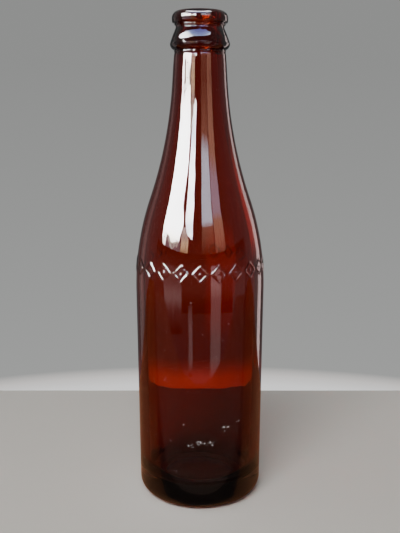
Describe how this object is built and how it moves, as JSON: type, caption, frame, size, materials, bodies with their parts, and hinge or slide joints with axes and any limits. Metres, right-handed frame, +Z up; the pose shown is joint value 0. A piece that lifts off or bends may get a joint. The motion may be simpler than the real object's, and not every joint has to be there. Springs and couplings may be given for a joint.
{
  "type": "glass soda bottle",
  "caption": "Empty long-neck amber glass soda bottle with sloping shoulders, a raised band of ornament and a crown-cork finish; open at the mouth, stands on its base.",
  "frame": {"origin": "centre of the flat ring the bottle stands on", "axes": "+Z runs up the bottle's axis of revolution through the mouth; X and Y are radial, with +Y away from a viewer standing in front"},
  "size_m": [0.0642, 0.0642, 0.2402],
  "materials": {
    "amber_glass_body": "glossy dark amber glass, red-brown in transmitted light",
    "amber_glass_finish": "glossy dark amber glass, the same metal as the body"
  },
  "bodies": {
    "root": {"bottle_body": "amber_glass_body", "crown_finish": "amber_glass_finish"}
  },
  "joints": []
}
